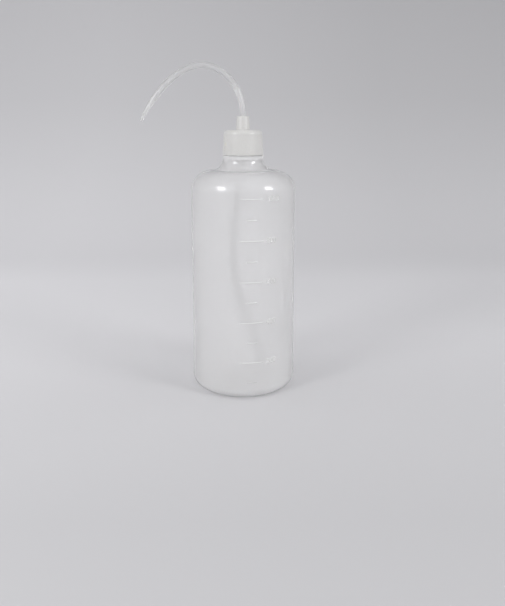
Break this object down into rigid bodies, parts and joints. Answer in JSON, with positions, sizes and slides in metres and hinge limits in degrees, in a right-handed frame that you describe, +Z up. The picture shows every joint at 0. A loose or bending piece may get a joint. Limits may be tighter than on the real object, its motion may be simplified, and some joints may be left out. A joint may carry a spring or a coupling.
{
  "type": "wash bottle",
  "caption": "Squeeze wash bottle: round translucent plastic bottle with a screw cap, a bent delivery tube drawn to a fine tip and a dip tube inside.",
  "frame": {"origin": "centre of the bottle's base, on its axis, on the plane it stands on", "axes": "+Z up along the bottle's axis; the delivery tube bends towards -X and its tip points down; -Y faces the viewer"},
  "size_m": [0.1328, 0.09, 0.2802],
  "materials": {
    "bottle_plastic": "milky translucent soft polyethylene, satin",
    "cap_plastic": "natural white moulded polyethylene, satin",
    "liner_foam": "white closed-cell foam",
    "tube_plastic": "clear to milky polyethylene tubing, glossy"
  },
  "bodies": {
    "bottle": {"bottle": "bottle_plastic"},
    "seal": {"seal_liner": "liner_foam"},
    "cap": {"cap": "cap_plastic"},
    "spout": {"spout_tube": "tube_plastic"},
    "dip": {"dip_tube": "tube_plastic"}
  },
  "joints": [
    {"name": "cap_lift", "type": "slide", "parent": "bottle", "child": "seal", "axis": [0, 0, 1], "range_m": [0, 0.00525]},
    {"name": "cap_turn", "type": "hinge", "parent": "seal", "child": "cap", "pos_m": [0, 0, 0.2127], "axis": [0, 0, 1], "range_deg": [0, 450.5]},
    {"name": "spout_swivel", "type": "hinge", "parent": "cap", "child": "spout", "pos_m": [0, 0, 0.2295], "axis": [0, 0, 1], "continuous": true},
    {"name": "dip_swivel", "type": "hinge", "parent": "cap", "child": "dip", "pos_m": [0, 0, 0.2165], "axis": [0, 0, 1], "continuous": true}
  ],
  "couplings": [
    {"joint": "cap_turn", "follows": "cap_lift", "rad_per_m": 1496}
  ]
}
